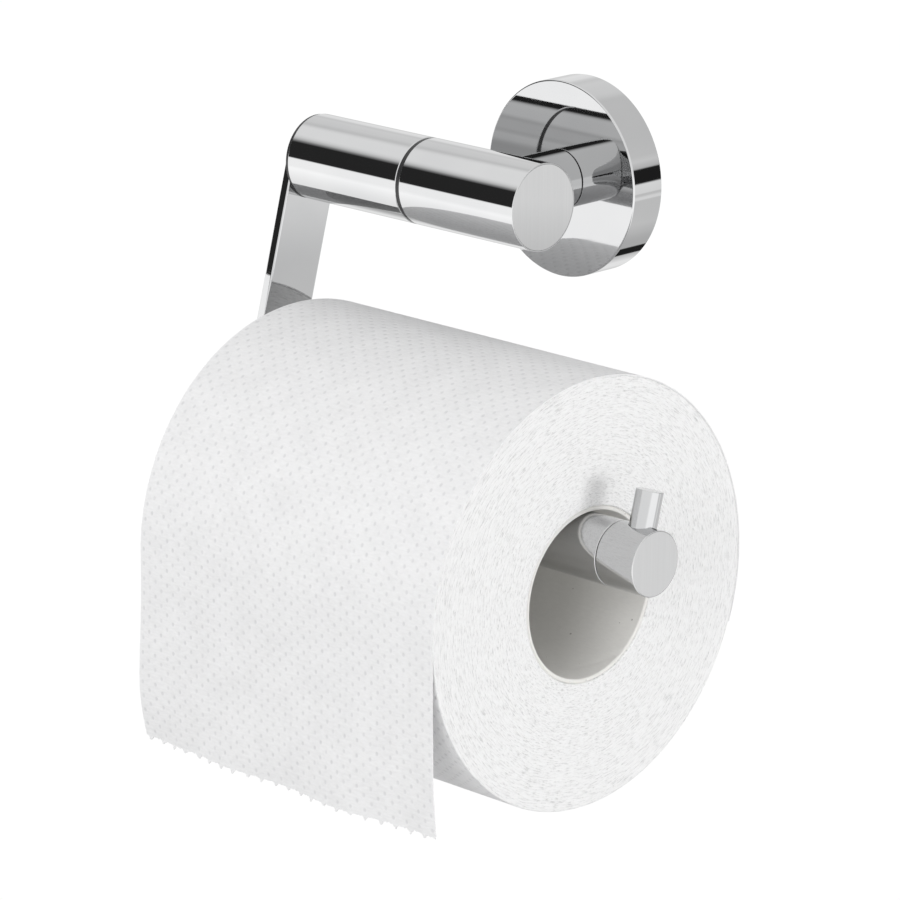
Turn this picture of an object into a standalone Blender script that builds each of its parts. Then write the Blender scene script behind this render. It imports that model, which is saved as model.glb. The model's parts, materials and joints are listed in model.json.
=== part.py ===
"""Wall-mounted toilet paper holder: a swivelling arm with a spindle, and the roll that hangs on it.

Metres, +Z up. The origin is the centre of the rosette's back, on the wall plane y = 0. +Y points
into the wall, and +X runs along it, towards the free end of the spindle. The arm is modelled where
a full roll leaves it: swung forward until the roll just clears the wall.
"""

import math

import bmesh
import bpy

# ------------------------------------------------------------------ driving dimensions
GAP = 0.0003  # between pieces that touch on the real object
SEAM = 0.0002  # the same, where the line between two pieces shows
FIT = 0.0001  # radial, for pressed and running fits

ROSETTE_RADIUS = 0.0245
ROSETTE_DEPTH = 0.0100
ROSETTE_WALL = 0.0018
ROSETTE_FACE = 0.0022
EDGE = 0.0004  # rounding of polished edges

BRACKET_RADIUS = 0.0222
BRACKET_PLATE = 0.0025
BRACKET_HEIGHT = 0.0068
BRACKET_RIM_RADIUS = 0.0175
BRACKET_WAIST_RADIUS = 0.0162  # undercut that the set screw pulls against
BRACKET_RIM_INNER = 0.0140
WALL_SCREW_SPACING = 0.0190
WALL_SCREW_HOLE = 0.0023

TUBE_DISTANCE = 0.0350  # from the wall to the tube's axis
TUBE_RADIUS = 0.01085
TUBE_WALL = 0.00205
TUBE_LEFT = -0.0594
TUBE_RIGHT = 0.0180
RING_CENTRE = -0.0209  # the black ring between the tube's halves
RING_WIDTH = 0.0008
CAP_RADIUS = 0.01005
CAP_THICKNESS = 0.0013
CAP_SPIGOT = 0.0050

POST_RADIUS = 0.0075
BOLT_RADIUS = 0.0029
BOLT_HOLE = 0.0032
BOLT_HEAD_RADIUS = 0.0050
BOLT_HEAD = 0.0030
BOLT_TIP = 0.0322
BOLT_HOLE_END = 0.0335
DOWEL_RADIUS = 0.0009
DOWEL_HEIGHT = 0.0053
SET_SCREW_RADIUS = 0.0020
SET_SCREW_Y = -0.0049

CORE_RADIUS = TUBE_RADIUS - TUBE_WALL - GAP  # solid bar inside the fixed half
CORE_RIGHT = 0.0105
SHAFT_RADIUS = 0.0050
SHAFT_SHOULDER = -0.0446
THREAD_RADIUS = 0.0030
THREAD_END = -0.0530
NUT_RADIUS = 0.0057

ARM_LENGTH = 0.0752  # between the tube's axis and the spindle's
ARM_WIDTH = 0.0158
ARM_THICKNESS = 0.0026
ARM_ANGLE = math.radians(15.08)  # forward of straight down
ARM_GAP = 0.0008  # holds the thin black washer
STUD_RADIUS = 0.0025
STUD_DEPTH = 0.0011  # of the blind holes in the arm

SPINDLE_RADIUS = 0.0080
SPINDLE_WALL = 0.0015
KNOB_LEFT = 0.0618
KNOB_RIGHT = 0.0734
PIN_X = 0.0675
PIN_RADIUS = 0.00334
PIN_TOP = 0.01645  # above the spindle's axis
PIN_FOOT = 0.0032

ROLL_LEFT = -0.0468
ROLL_RIGHT = 0.0530
ROLL_RADIUS = 0.0532
TUBE_CORE_INNER = 0.02055
TUBE_CORE_WALL = 0.00105
SHEET_THICKNESS = 0.0003
SHEET_START = math.radians(-20)  # seen from +X, from the wall side over the top
SHEET_END_Z = -0.1320

# ------------------------------------------------------------------ places worked out from them
FIXED_LEFT = RING_CENTRE + RING_WIDTH / 2 + SEAM
SWIVEL_RIGHT = RING_CENTRE - RING_WIDTH / 2 - SEAM
ARM_FACE = TUBE_LEFT - ARM_GAP
SPINDLE_Y = -TUBE_DISTANCE - ARM_LENGTH * math.sin(ARM_ANGLE)
SPINDLE_Z = -ARM_LENGTH * math.cos(ARM_ANGLE)
ROLL_Z = SPINDLE_Z + SPINDLE_RADIUS + GAP - TUBE_CORE_INNER

ALONG_X = (0.0, math.pi / 2, 0.0)  # a turned piece's own Z axis along +X
ALONG_MINUS_Y = (math.pi / 2, 0.0, 0.0)  # away from the wall
OUTLINE_IN_YZ = (math.pi / 2, 0.0, math.pi / 2)  # a flat outline's x, y and z onto Y, Z and X

FINISHES = {  # colour, roughness, metallic
    "polished_chrome": ((0.80, 0.80, 0.81), 0.06, 1.0),
    "satin_chrome": ((0.74, 0.74, 0.75), 0.30, 1.0),
    "zinc_casting": ((0.52, 0.53, 0.54), 0.45, 1.0),
    "plain_steel": ((0.56, 0.56, 0.57), 0.32, 1.0),
    "black_ring": ((0.015, 0.015, 0.016), 0.45, 0.0),
    "nylon": ((0.86, 0.85, 0.80), 0.50, 0.0),
    "cardboard": ((0.66, 0.64, 0.60), 0.90, 0.0),
    "tissue_roll": ((0.93, 0.93, 0.93), 0.95, 0.0),
    "tissue_sheet": ((0.92, 0.92, 0.93), 0.95, 0.0),
}


# ------------------------------------------------------------------ scene and placing
def clear_scene():
    for item in list(bpy.data.objects):
        bpy.data.objects.remove(item, do_unlink=True)


def new_collection(name):
    group = bpy.data.collections.new(name)
    bpy.context.scene.collection.children.link(group)
    return group


def make_finishes():
    """One Principled material for each finish, by name."""
    made = {}
    for name, (colour, roughness, metallic) in FINISHES.items():
        material = bpy.data.materials.new(name)
        material.use_nodes = True
        shader = material.node_tree.nodes["Principled BSDF"]
        shader.inputs["Base Color"].default_value = (*colour, 1.0)
        shader.inputs["Roughness"].default_value = roughness
        shader.inputs["Metallic"].default_value = metallic
        made[name] = material
    return made


clear_scene()
PARTS = new_collection("toilet_paper_holder")
CUTTERS = new_collection("cutters")
FINISH = make_finishes()


def joint_axis(name, location, rotation=(0.0, 0.0, 0.0)):
    """An empty on a joint's axis, which the pieces that turn about it hang from."""
    empty = bpy.data.objects.new(name, None)
    empty.location = location
    empty.rotation_euler = rotation
    empty.empty_display_size = 0.01
    PARTS.objects.link(empty)
    return empty


SWING = joint_axis("swing_axis", (0.0, -TUBE_DISTANCE, 0.0), (-ARM_ANGLE, 0.0, 0.0))
HANG = joint_axis("hang_axis", (0.0, SPINDLE_Y, SPINDLE_Z))
SPIN = joint_axis("spin_axis", (0.0, SPINDLE_Y, ROLL_Z))


def place(item, finish, location, rotation, parent=None):
    item.parent = parent
    item.location = location
    item.rotation_euler = rotation
    item.data.materials.append(FINISH[finish])
    PARTS.objects.link(item)
    return item


def baked(source, weld=0.00001):
    """The mesh that an object shows with its modifiers, welded; the object itself is removed."""
    bpy.context.scene.collection.objects.link(source)
    graph = bpy.context.evaluated_depsgraph_get()
    mesh = bpy.data.meshes.new_from_object(source.evaluated_get(graph))
    bpy.data.objects.remove(source, do_unlink=True)
    work = bmesh.new()
    work.from_mesh(mesh)
    bmesh.ops.remove_doubles(work, verts=work.verts, dist=weld)
    work.to_mesh(mesh)
    work.free()
    mesh.shade_smooth()
    mesh.set_sharp_from_angle(angle=math.radians(30))
    return mesh


# ------------------------------------------------------------------ shapes
def rounded(corners, closed, steps=2):
    """Corners (radius, height, rounding) as points, with an arc where the rounding isn't 0."""
    points = []
    count = len(corners)
    for index, (radius, height, rounding) in enumerate(corners):
        end = not closed and index in (0, count - 1)
        if rounding == 0 or end:
            points.append((radius, height))
            continue
        before = corners[index - 1]
        after = corners[(index + 1) % count]
        angle_in = math.atan2(before[1] - height, before[0] - radius)
        angle_out = math.atan2(after[1] - height, after[0] - radius)
        turn = (angle_out - angle_in + math.pi) % (2 * math.pi) - math.pi
        half = turn / 2
        reach = rounding / math.sin(abs(half))
        centre_x = radius + reach * math.cos(angle_in + half)
        centre_y = height + reach * math.sin(angle_in + half)
        first = angle_in - math.copysign(math.pi / 2, turn)
        sweep = math.copysign(math.pi - abs(turn), -turn)
        for step in range(steps + 1):
            angle = first + sweep * step / steps
            points.append((centre_x + rounding * math.cos(angle), centre_y + rounding * math.sin(angle)))
    return points


def turned(name, corners, closed=False, steps=32):
    """A turned piece about its own Z axis; a closed profile makes a ring."""
    points = rounded(corners, closed)
    count = len(points)
    edges = [(index, (index + 1) % count) for index in range(count if closed else count - 1)]
    profile = bpy.data.meshes.new(name)
    profile.from_pydata([(radius, 0.0, height) for radius, height in points], edges, [])
    source = bpy.data.objects.new(name + "_profile", profile)
    screw = source.modifiers.new("turn", "SCREW")
    screw.axis = "Z"
    screw.angle = 2 * math.pi
    screw.steps = steps
    screw.render_steps = steps
    screw.use_merge_vertices = True
    screw.merge_threshold = 0.00001
    mesh = baked(source)
    mesh.name = name
    return bpy.data.objects.new(name, mesh)


def rod(name, radius, low, high, rounding=0.0, steps=32):
    """A round bar between two heights."""
    corners = [(0, high, 0), (radius, high, rounding), (radius, low, rounding), (0, low, 0)]
    return turned(name, corners, steps=steps)


def ring(name, inner, outer, low, high, rounding=0.0, steps=32):
    """A plain ring or sleeve; the rounding is on its outer corners."""
    corners = [(inner, high, 0), (outer, high, rounding), (outer, low, rounding), (inner, low, 0)]
    return turned(name, corners, closed=True, steps=steps)


def plate(name, outline, thickness):
    """A flat piece with the given outline, its thickness centred on its own XY plane."""
    curve = bpy.data.curves.new(name + "_outline", "CURVE")
    curve.dimensions = "2D"
    curve.fill_mode = "BOTH"
    curve.extrude = thickness / 2
    line = curve.splines.new("POLY")
    line.points.add(len(outline) - 1)
    for point, (x, y) in zip(line.points, outline):
        point.co = (x, y, 0.0, 1.0)
    line.use_cyclic_u = True
    mesh = baked(bpy.data.objects.new(name + "_outline", curve))
    mesh.name = name
    return bpy.data.objects.new(name, mesh)


def arc(centre, radius, start, end, steps):
    """Points on an arc, both ends included."""
    angles = [start + (end - start) * step / steps for step in range(steps + 1)]
    return [(centre[0] + radius * math.cos(a), centre[1] + radius * math.sin(a)) for a in angles]


def soften(item, width):
    """Bevel the edges that are sharper than 40 degrees."""
    bevel = item.modifiers.new("soften", "BEVEL")
    bevel.width = width
    bevel.segments = 2
    bevel.limit_method = "ANGLE"
    bevel.angle_limit = math.radians(40)


def drill(item, radius, low, high, location, rotation, sides=24):
    """Cut a round or six-sided hole between two heights on the cutter's own Z axis."""
    mesh = bpy.data.meshes.new("cutter_" + item.name)
    work = bmesh.new()
    bmesh.ops.create_cone(
        work, cap_ends=True, segments=sides, radius1=radius, radius2=radius, depth=high - low
    )
    bmesh.ops.translate(work, verts=work.verts, vec=(0, 0, (high + low) / 2))
    work.to_mesh(mesh)
    work.free()
    cutter = bpy.data.objects.new("cutter_" + item.name, mesh)
    cutter.parent = item.parent
    cutter.location = location
    cutter.rotation_euler = rotation
    cutter.hide_render = True
    cutter.display_type = "WIRE"
    CUTTERS.objects.link(cutter)
    cut = item.modifiers.new("hole", "BOOLEAN")
    cut.operation = "DIFFERENCE"
    cut.solver = "EXACT"
    cut.object = cutter


# ------------------------------------------------------------------ wall mount: bracket and rosette
def wall_bracket():
    corners = [
        (0, BRACKET_PLATE, 0),
        (BRACKET_RIM_INNER, BRACKET_PLATE, 0),
        (BRACKET_RIM_INNER, BRACKET_HEIGHT, 0),
        (BRACKET_RIM_RADIUS, BRACKET_HEIGHT, EDGE),
        (BRACKET_WAIST_RADIUS, BRACKET_PLATE, 0),
        (BRACKET_RADIUS, BRACKET_PLATE, EDGE),
        (BRACKET_RADIUS, 0, 0),
        (0, 0, 0),
    ]
    item = turned("wall_bracket", corners, steps=48)
    place(item, "zinc_casting", (0, 0, 0), ALONG_MINUS_Y)
    for side in (-1, 1):
        centre = (side * WALL_SCREW_SPACING / 2, 0, 0)
        drill(item, WALL_SCREW_HOLE, -0.001, BRACKET_PLATE + 0.001, centre, ALONG_MINUS_Y)


def rosette_cover():
    inside = ROSETTE_DEPTH - ROSETTE_FACE
    corners = [
        (0, ROSETTE_DEPTH, 0),
        (ROSETTE_RADIUS, ROSETTE_DEPTH, EDGE),
        (ROSETTE_RADIUS, 0, EDGE / 2),
        (ROSETTE_RADIUS - ROSETTE_WALL, 0, 0),
        (ROSETTE_RADIUS - ROSETTE_WALL, inside, 0),
        (0, inside, 0),
    ]
    item = turned("rosette_cover", corners, steps=72)
    place(item, "polished_chrome", (0, 0, 0), ALONG_MINUS_Y)
    drill(item, BOLT_HOLE, inside - 0.001, ROSETTE_DEPTH + 0.001, (0, 0, 0), ALONG_MINUS_Y)
    drill(item, DOWEL_RADIUS + FIT, inside - 0.001, ROSETTE_DEPTH + 0.001,
          (0, 0, DOWEL_HEIGHT), ALONG_MINUS_Y, sides=16)
    drill(item, SET_SCREW_RADIUS + FIT, -ROSETTE_RADIUS - 0.001, ROSETTE_WALL - ROSETTE_RADIUS + 0.001,
          (0, SET_SCREW_Y, 0), (0, 0, 0), sides=24)


def rosette_set_screw():
    """Cup-point grub screw up through the rosette's underside, onto the bracket's waist."""
    low = -ROSETTE_RADIUS + 0.0004
    high = -BRACKET_RIM_RADIUS - GAP
    corners = [(0, high, 0), (SET_SCREW_RADIUS * 0.6, high, 0), (SET_SCREW_RADIUS, high - 0.0007, 0),
               (SET_SCREW_RADIUS, low, 0.0002), (0, low, 0)]
    item = turned("rosette_set_screw", corners, steps=24)
    place(item, "plain_steel", (0, SET_SCREW_Y, 0), (0, 0, 0))
    drill(item, 0.0012, low - 0.001, low + 0.0018, (0, SET_SCREW_Y, 0), (0, 0, 0), sides=6)


# ------------------------------------------------------------------ post and its fixings
def post():
    """Round post whose end is saddled to the tube."""
    reach = TUBE_DISTANCE - TUBE_RADIUS
    item = ring("post", BOLT_HOLE, POST_RADIUS, ROSETTE_DEPTH + SEAM, reach + 0.0035, steps=48)
    place(item, "polished_chrome", (0, 0, 0), ALONG_MINUS_Y)
    drill(item, TUBE_RADIUS + SEAM, -0.02, 0.02, (0, -TUBE_DISTANCE, 0), ALONG_X, sides=60)
    drill(item, DOWEL_RADIUS + FIT, ROSETTE_DEPTH - 0.001, ROSETTE_DEPTH + 0.0032,
          (0, 0, DOWEL_HEIGHT), ALONG_MINUS_Y, sides=16)


def post_dowel():
    """Keeps the post from turning in the rosette."""
    low = ROSETTE_DEPTH - ROSETTE_FACE
    item = rod("post_dowel", DOWEL_RADIUS, low, ROSETTE_DEPTH + 0.0028, 0.0002, steps=16)
    place(item, "plain_steel", (0, 0, DOWEL_HEIGHT), ALONG_MINUS_Y)


def post_bolt():
    """Socket bolt from inside the rosette, through the post, into the pivot bar."""
    under_head = ROSETTE_DEPTH - ROSETTE_FACE - GAP
    head_top = under_head - BOLT_HEAD
    corners = [
        (0, BOLT_TIP, 0),
        (BOLT_RADIUS, BOLT_TIP, 0.0004),
        (BOLT_RADIUS, under_head, 0),
        (BOLT_HEAD_RADIUS, under_head, 0),
        (BOLT_HEAD_RADIUS, head_top, EDGE),
        (0, head_top, 0),
    ]
    item = turned("post_bolt", corners, steps=32)
    place(item, "plain_steel", (0, 0, 0), ALONG_MINUS_Y)
    drill(item, 0.0023, head_top - 0.001, head_top + 0.0017, (0, 0, 0), ALONG_MINUS_Y, sides=6)


# ------------------------------------------------------------------ fixed half of the tube
def fixed_tube():
    """Its right end is counterbored for the end cap."""
    inner = TUBE_RADIUS - TUBE_WALL
    corners = [
        (CAP_RADIUS + SEAM, TUBE_RIGHT, 0),
        (TUBE_RADIUS, TUBE_RIGHT, EDGE),
        (TUBE_RADIUS, FIXED_LEFT, EDGE / 2),
        (inner, FIXED_LEFT, 0),
        (inner, TUBE_RIGHT - CAP_THICKNESS - GAP, 0),
        (CAP_RADIUS + SEAM, TUBE_RIGHT - CAP_THICKNESS - GAP, 0),
    ]
    item = turned("fixed_tube", corners, closed=True, steps=60)
    place(item, "polished_chrome", (0, -TUBE_DISTANCE, 0), ALONG_X)
    drill(item, BOLT_HOLE, TUBE_DISTANCE - TUBE_RADIUS - 0.002, TUBE_DISTANCE - 0.004,
          (0, 0, 0), ALONG_MINUS_Y)


def fixed_end_cap():
    corners = [
        (0, TUBE_RIGHT, 0),
        (CAP_RADIUS, TUBE_RIGHT, EDGE / 2),
        (CAP_RADIUS, TUBE_RIGHT - CAP_THICKNESS, 0),
        (CORE_RADIUS, TUBE_RIGHT - CAP_THICKNESS, 0),
        (CORE_RADIUS, TUBE_RIGHT - CAP_SPIGOT, EDGE),
        (0, TUBE_RIGHT - CAP_SPIGOT, 0),
    ]
    item = turned("fixed_end_cap", corners, steps=48)
    place(item, "satin_chrome", (0, -TUBE_DISTANCE, 0), ALONG_X)


def pivot_bar():
    """Bar inside the fixed half, with the swivel's shaft and thread turned on its left end."""
    corners = [
        (0, CORE_RIGHT, 0),
        (CORE_RADIUS, CORE_RIGHT, EDGE),
        (CORE_RADIUS, FIXED_LEFT, 0),
        (SHAFT_RADIUS, FIXED_LEFT, 0),
        (SHAFT_RADIUS, SHAFT_SHOULDER, EDGE / 2),
        (THREAD_RADIUS, SHAFT_SHOULDER, 0),
        (THREAD_RADIUS, THREAD_END, EDGE),
        (0, THREAD_END, 0),
    ]
    item = turned("pivot_bar", corners, steps=36)
    place(item, "plain_steel", (0, -TUBE_DISTANCE, 0), ALONG_X)
    drill(item, BOLT_HOLE, TUBE_DISTANCE - TUBE_RADIUS, BOLT_HOLE_END, (0, 0, 0), ALONG_MINUS_Y)


def swivel_stack():
    """What the shaft carries: the black ring, then washer, disc spring and lock nut."""
    centre = (0, -TUBE_DISTANCE, 0)
    half = RING_WIDTH / 2
    item = ring("centre_ring", SHAFT_RADIUS + FIT, TUBE_RADIUS - SEAM,
                RING_CENTRE - half, RING_CENTRE + half, steps=48)
    place(item, "black_ring", centre, ALONG_X)

    washer_right = SHAFT_SHOULDER - SEAM
    washer_left = washer_right - 0.0008
    item = ring("thrust_washer", THREAD_RADIUS + GAP, 0.0078, washer_left, washer_right)
    place(item, "plain_steel", centre, ALONG_X)

    spring_right = washer_left - FIT
    slope = 0.0007
    thickness = 0.0005
    inner, outer = THREAD_RADIUS + GAP, 0.0066
    corners = [(inner, spring_right - slope, 0), (outer, spring_right, 0),
               (outer, spring_right - thickness, 0), (inner, spring_right - slope - thickness, 0)]
    item = turned("disc_spring", corners, closed=True)
    place(item, "plain_steel", centre, ALONG_X)

    nut_right = spring_right - slope - thickness - SEAM
    nut_left = THREAD_END + 0.0008
    item = rod("lock_nut", NUT_RADIUS, nut_left, nut_right, steps=6)
    item.data.shade_flat()
    place(item, "plain_steel", centre, ALONG_X)
    soften(item, 0.0002)
    drill(item, THREAD_RADIUS + GAP, nut_left - 0.001, nut_right + 0.001, centre, ALONG_X)


# ------------------------------------------------------------------ swinging half of the tube
def swivel_tube():
    item = ring("swivel_tube", TUBE_RADIUS - TUBE_WALL, TUBE_RADIUS, TUBE_LEFT, SWIVEL_RIGHT,
                EDGE / 2, steps=60)
    place(item, "polished_chrome", (0, 0, 0), ALONG_X, SWING)


def swivel_bushings():
    """Two nylon sleeves pressed into the swinging half, which turn on the shaft."""
    places = {"bushing_near": (-0.0302, -0.0218), "bushing_far": (-0.0443, -0.0363)}
    for name, (low, high) in places.items():
        item = ring(name, SHAFT_RADIUS + FIT, CORE_RADIUS + GAP - FIT, low, high)
        place(item, "nylon", (0, 0, 0), ALONG_X, SWING)


def swivel_plug():
    """Threaded plug pressed into the left end of the tube, for the arm's upper stud."""
    item = ring("swivel_plug", STUD_RADIUS + GAP, CORE_RADIUS + GAP - FIT,
                TUBE_LEFT, TUBE_LEFT + 0.0048)
    place(item, "plain_steel", (0, 0, 0), ALONG_X, SWING)


def arm_washer():
    item = ring("arm_washer", STUD_RADIUS + GAP, TUBE_RADIUS - SEAM,
                ARM_FACE + SEAM, TUBE_LEFT - SEAM, steps=48)
    place(item, "black_ring", (0, 0, 0), ALONG_X, SWING)


def arm():
    """Flat bar with round ends, and a blind hole for a stud at each end."""
    half = ARM_WIDTH / 2
    outline = arc((0, 0), half, 0, math.pi, 24)
    outline += arc((0, -ARM_LENGTH), half, math.pi, 2 * math.pi, 24)
    item = plate("arm", outline, ARM_THICKNESS)
    place(item, "polished_chrome", (ARM_FACE - ARM_THICKNESS / 2, 0, 0), OUTLINE_IN_YZ, SWING)
    soften(item, EDGE)
    for height in (0, -ARM_LENGTH):
        drill(item, STUD_RADIUS + FIT, ARM_FACE - STUD_DEPTH - FIT, ARM_FACE + 0.001,
              (0, 0, height), ALONG_X, sides=24)


def arm_studs():
    """Threaded studs fixed in the arm: the upper holds it to the tube, the lower the spindle."""
    for name, height, reach in (("arm_stud_upper", 0, 0.0048), ("arm_stud_lower", -ARM_LENGTH, 0.0085)):
        item = rod(name, STUD_RADIUS, ARM_FACE - STUD_DEPTH, ARM_FACE + reach, 0.0003, steps=24)
        place(item, "plain_steel", (0, 0, height), ALONG_X, SWING)


# ------------------------------------------------------------------ spindle
def spindle_tube():
    item = ring("spindle_tube", SPINDLE_RADIUS - SPINDLE_WALL, SPINDLE_RADIUS,
                ARM_FACE + SEAM, KNOB_LEFT - SEAM, EDGE / 2, steps=48)
    place(item, "polished_chrome", (0, 0, -ARM_LENGTH), ALONG_X, SWING)


def spindle_plugs():
    """Threaded plugs pressed into both ends of the spindle."""
    outer = SPINDLE_RADIUS - SPINDLE_WALL - FIT
    item = ring("spindle_root_plug", STUD_RADIUS + GAP, outer, ARM_FACE + SEAM, ARM_FACE + 0.0100)
    place(item, "plain_steel", (0, 0, -ARM_LENGTH), ALONG_X, SWING)
    item = ring("spindle_tip_plug", THREAD_RADIUS - 0.0007, outer, KNOB_LEFT - 0.0090, KNOB_LEFT - SEAM)
    place(item, "plain_steel", (0, 0, -ARM_LENGTH), ALONG_X, SWING)


def knob_stud():
    """Joins the end knob to the spindle's tip plug."""
    item = rod("knob_stud", 0.0020, KNOB_LEFT - 0.0080, KNOB_LEFT + 0.0062, 0.0003, steps=24)
    place(item, "plain_steel", (0, 0, -ARM_LENGTH), ALONG_X, SWING)


def spindle_knob():
    """Solid end of the spindle, drilled for its stud and for the stop pin."""
    corners = [
        (0, KNOB_RIGHT, 0),
        (SPINDLE_RADIUS, KNOB_RIGHT, EDGE),
        (SPINDLE_RADIUS, KNOB_LEFT, EDGE / 2),
        (0, KNOB_LEFT, 0),
    ]
    item = turned("spindle_knob", corners, steps=48)
    place(item, "satin_chrome", (0, 0, -ARM_LENGTH), ALONG_X, SWING)
    drill(item, 0.0023, KNOB_LEFT - 0.001, KNOB_LEFT + 0.0065, (0, 0, -ARM_LENGTH), ALONG_X, sides=24)
    drill(item, PIN_RADIUS + FIT, PIN_FOOT - GAP, 0.012, (PIN_X, 0, -ARM_LENGTH), (0, 0, 0), sides=32)


def stop_pin():
    """Upright pin that keeps the roll on the spindle."""
    item = rod("stop_pin", PIN_RADIUS, PIN_FOOT, PIN_TOP, EDGE, steps=32)
    place(item, "polished_chrome", (PIN_X, 0, -ARM_LENGTH), (0, 0, 0), SWING)


# ------------------------------------------------------------------ the roll
def roll_core():
    item = ring("roll_core", TUBE_CORE_INNER, TUBE_CORE_INNER + TUBE_CORE_WALL,
                ROLL_LEFT + GAP, ROLL_RIGHT - GAP, steps=56)
    place(item, "cardboard", (0, 0, 0), ALONG_X, SPIN)


def paper_roll():
    """The wound paper under the outermost turn."""
    inner = TUBE_CORE_INNER + TUBE_CORE_WALL + GAP
    outer = ROLL_RADIUS - SHEET_THICKNESS - GAP
    item = ring("paper_roll", inner, outer, ROLL_LEFT, ROLL_RIGHT, 0.0005, steps=80)
    place(item, "tissue_roll", (0, 0, 0), ALONG_X, SPIN)


def paper_sheet():
    """The outermost turn and the free end: over the top, down the front, and hanging straight."""
    drop = ROLL_Z - SPINDLE_Z  # the roll's axis below the spindle's
    centre = (0.0, drop)
    inner = ROLL_RADIUS - SHEET_THICKNESS
    end = SHEET_END_Z - SPINDLE_Z
    outline = arc(centre, ROLL_RADIUS, SHEET_START, math.pi, 60)
    outline += [(-ROLL_RADIUS, end), (-inner, end)]
    outline += arc(centre, inner, math.pi, SHEET_START, 60)
    item = plate("paper_sheet", outline, ROLL_RIGHT - ROLL_LEFT)
    middle = (ROLL_RIGHT + ROLL_LEFT) / 2
    place(item, "tissue_sheet", (middle, 0, 0), OUTLINE_IN_YZ, HANG)


# ------------------------------------------------------------------ the whole holder
def build():
    wall_bracket()
    rosette_cover()
    rosette_set_screw()
    post()
    post_dowel()
    post_bolt()
    fixed_tube()
    fixed_end_cap()
    pivot_bar()
    swivel_stack()
    swivel_tube()
    swivel_bushings()
    swivel_plug()
    arm_washer()
    arm()
    arm_studs()
    spindle_tube()
    spindle_plugs()
    knob_stud()
    spindle_knob()
    stop_pin()
    roll_core()
    paper_roll()
    paper_sheet()


build()
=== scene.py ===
# %% [markdown]
# # A toilet paper holder, from its frame to its finish
#
# The holder is a chrome rosette on the wall, a short post, and a tube whose outer half swivels. The
# swivelling half carries a flat arm, and the arm a spindle that is open at its right end, so that a
# roll slides on and off. A small upright pin at the tip keeps the roll from wandering off.
#
# The mechanical model comes first. It is loaded as a fixed frame that already has the right sizes,
# places and joints, so every visible piece takes its place from the frame and nothing is fitted by
# eye.

import json
import math

import bmesh
import bpy
from mathutils import Matrix, Vector, noise


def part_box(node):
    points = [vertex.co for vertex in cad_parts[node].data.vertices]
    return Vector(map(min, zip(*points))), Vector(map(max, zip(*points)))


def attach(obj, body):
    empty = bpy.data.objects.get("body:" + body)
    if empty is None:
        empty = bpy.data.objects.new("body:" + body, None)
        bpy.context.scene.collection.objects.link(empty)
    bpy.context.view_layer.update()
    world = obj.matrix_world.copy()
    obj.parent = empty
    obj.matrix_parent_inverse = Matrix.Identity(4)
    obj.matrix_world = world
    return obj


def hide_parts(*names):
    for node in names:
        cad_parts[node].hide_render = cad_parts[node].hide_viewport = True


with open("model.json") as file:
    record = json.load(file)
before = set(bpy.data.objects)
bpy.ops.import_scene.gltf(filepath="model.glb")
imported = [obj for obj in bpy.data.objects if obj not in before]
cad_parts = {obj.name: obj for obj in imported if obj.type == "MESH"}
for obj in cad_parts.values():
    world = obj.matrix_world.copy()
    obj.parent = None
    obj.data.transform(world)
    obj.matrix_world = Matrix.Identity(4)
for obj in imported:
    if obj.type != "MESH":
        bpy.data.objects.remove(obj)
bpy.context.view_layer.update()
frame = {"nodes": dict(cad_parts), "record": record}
RECORD = frame["record"]
print("nodes in the frame:", len(frame["nodes"]))

# %% [markdown]
# The record says which body each node moves with, which finish it has, and where the joints are.
# Two joints give the arm's direction: one lies on the tube's axis, the other on the spindle's axis.

# %% Joint axes and directions
BODY_OF = {node: body for body, nodes in RECORD["behaviour"]["bodies"].items() for node in nodes}
SLOT_OF = {part["node"]: part["material_slot"] for part in RECORD["subparts"]}
JOINT_AT = {joint["name"]: Vector(joint["pos_m"]) for joint in RECORD["behaviour"]["joints"]}

ACROSS = Vector((1, 0, 0))  # along the wall, towards the free end of the spindle
OUTWARD = Vector((0, -1, 0))  # away from the wall
UP = Vector((0, 0, 1))


def box(node):
    """A node's lowest and highest corners."""
    return [Vector(corner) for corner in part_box(node)]


def on_axis(joint):
    """The point at x = 0 on a joint's axis, all of which run along X."""
    return Vector((0, JOINT_AT[joint].y, JOINT_AT[joint].z))


TUBE_AXIS = on_axis("arm_swing")
SPINDLE_AXIS = on_axis("roll_hang")
ROLL_AXIS = on_axis("roll_spin")
ARM_UP = (TUBE_AXIS - SPINDLE_AXIS).normalized()
print("arm length:", round((TUBE_AXIS - SPINDLE_AXIS).length * 1000, 2), "mm")

# %% [markdown]
# ## The camera
#
# The camera stands a little above the holder and to its right, with a long lens, so that the tube
# and the spindle run almost parallel to each other.

# %% The camera
CAMERA_PLACE = Vector((0.7833, -0.8429, 0.2657))
CAMERA_AZIMUTH, CAMERA_ELEVATION, CAMERA_ROLL = (math.radians(angle) for angle in (44.59, 16.34, 0.15))
SENSOR_WIDTH, FOCAL_LENGTH = 36.0, 191.06  # millimetres


def placed(name, data):
    """A new object in the scene, which holds the given data."""
    item = bpy.data.objects.new(name, data)
    bpy.context.scene.collection.objects.link(item)
    return item


camera_data = bpy.data.cameras.new("camera")
camera_data.sensor_width, camera_data.lens = SENSOR_WIDTH, FOCAL_LENGTH
camera_data.clip_start, camera_data.clip_end = 0.05, 200.0
camera = placed("camera", camera_data)
camera.matrix_world = (
    Matrix.Translation(CAMERA_PLACE) @ Matrix.Rotation(CAMERA_AZIMUTH, 4, "Z")
    @ Matrix.Rotation(math.pi / 2 - CAMERA_ELEVATION, 4, "X") @ Matrix.Rotation(CAMERA_ROLL, 4, "Z"))
bpy.context.scene.camera = camera
bpy.context.scene.view_settings.view_transform = "Standard"
print("camera distance:", round(CAMERA_PLACE.length, 3), "m")


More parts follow.
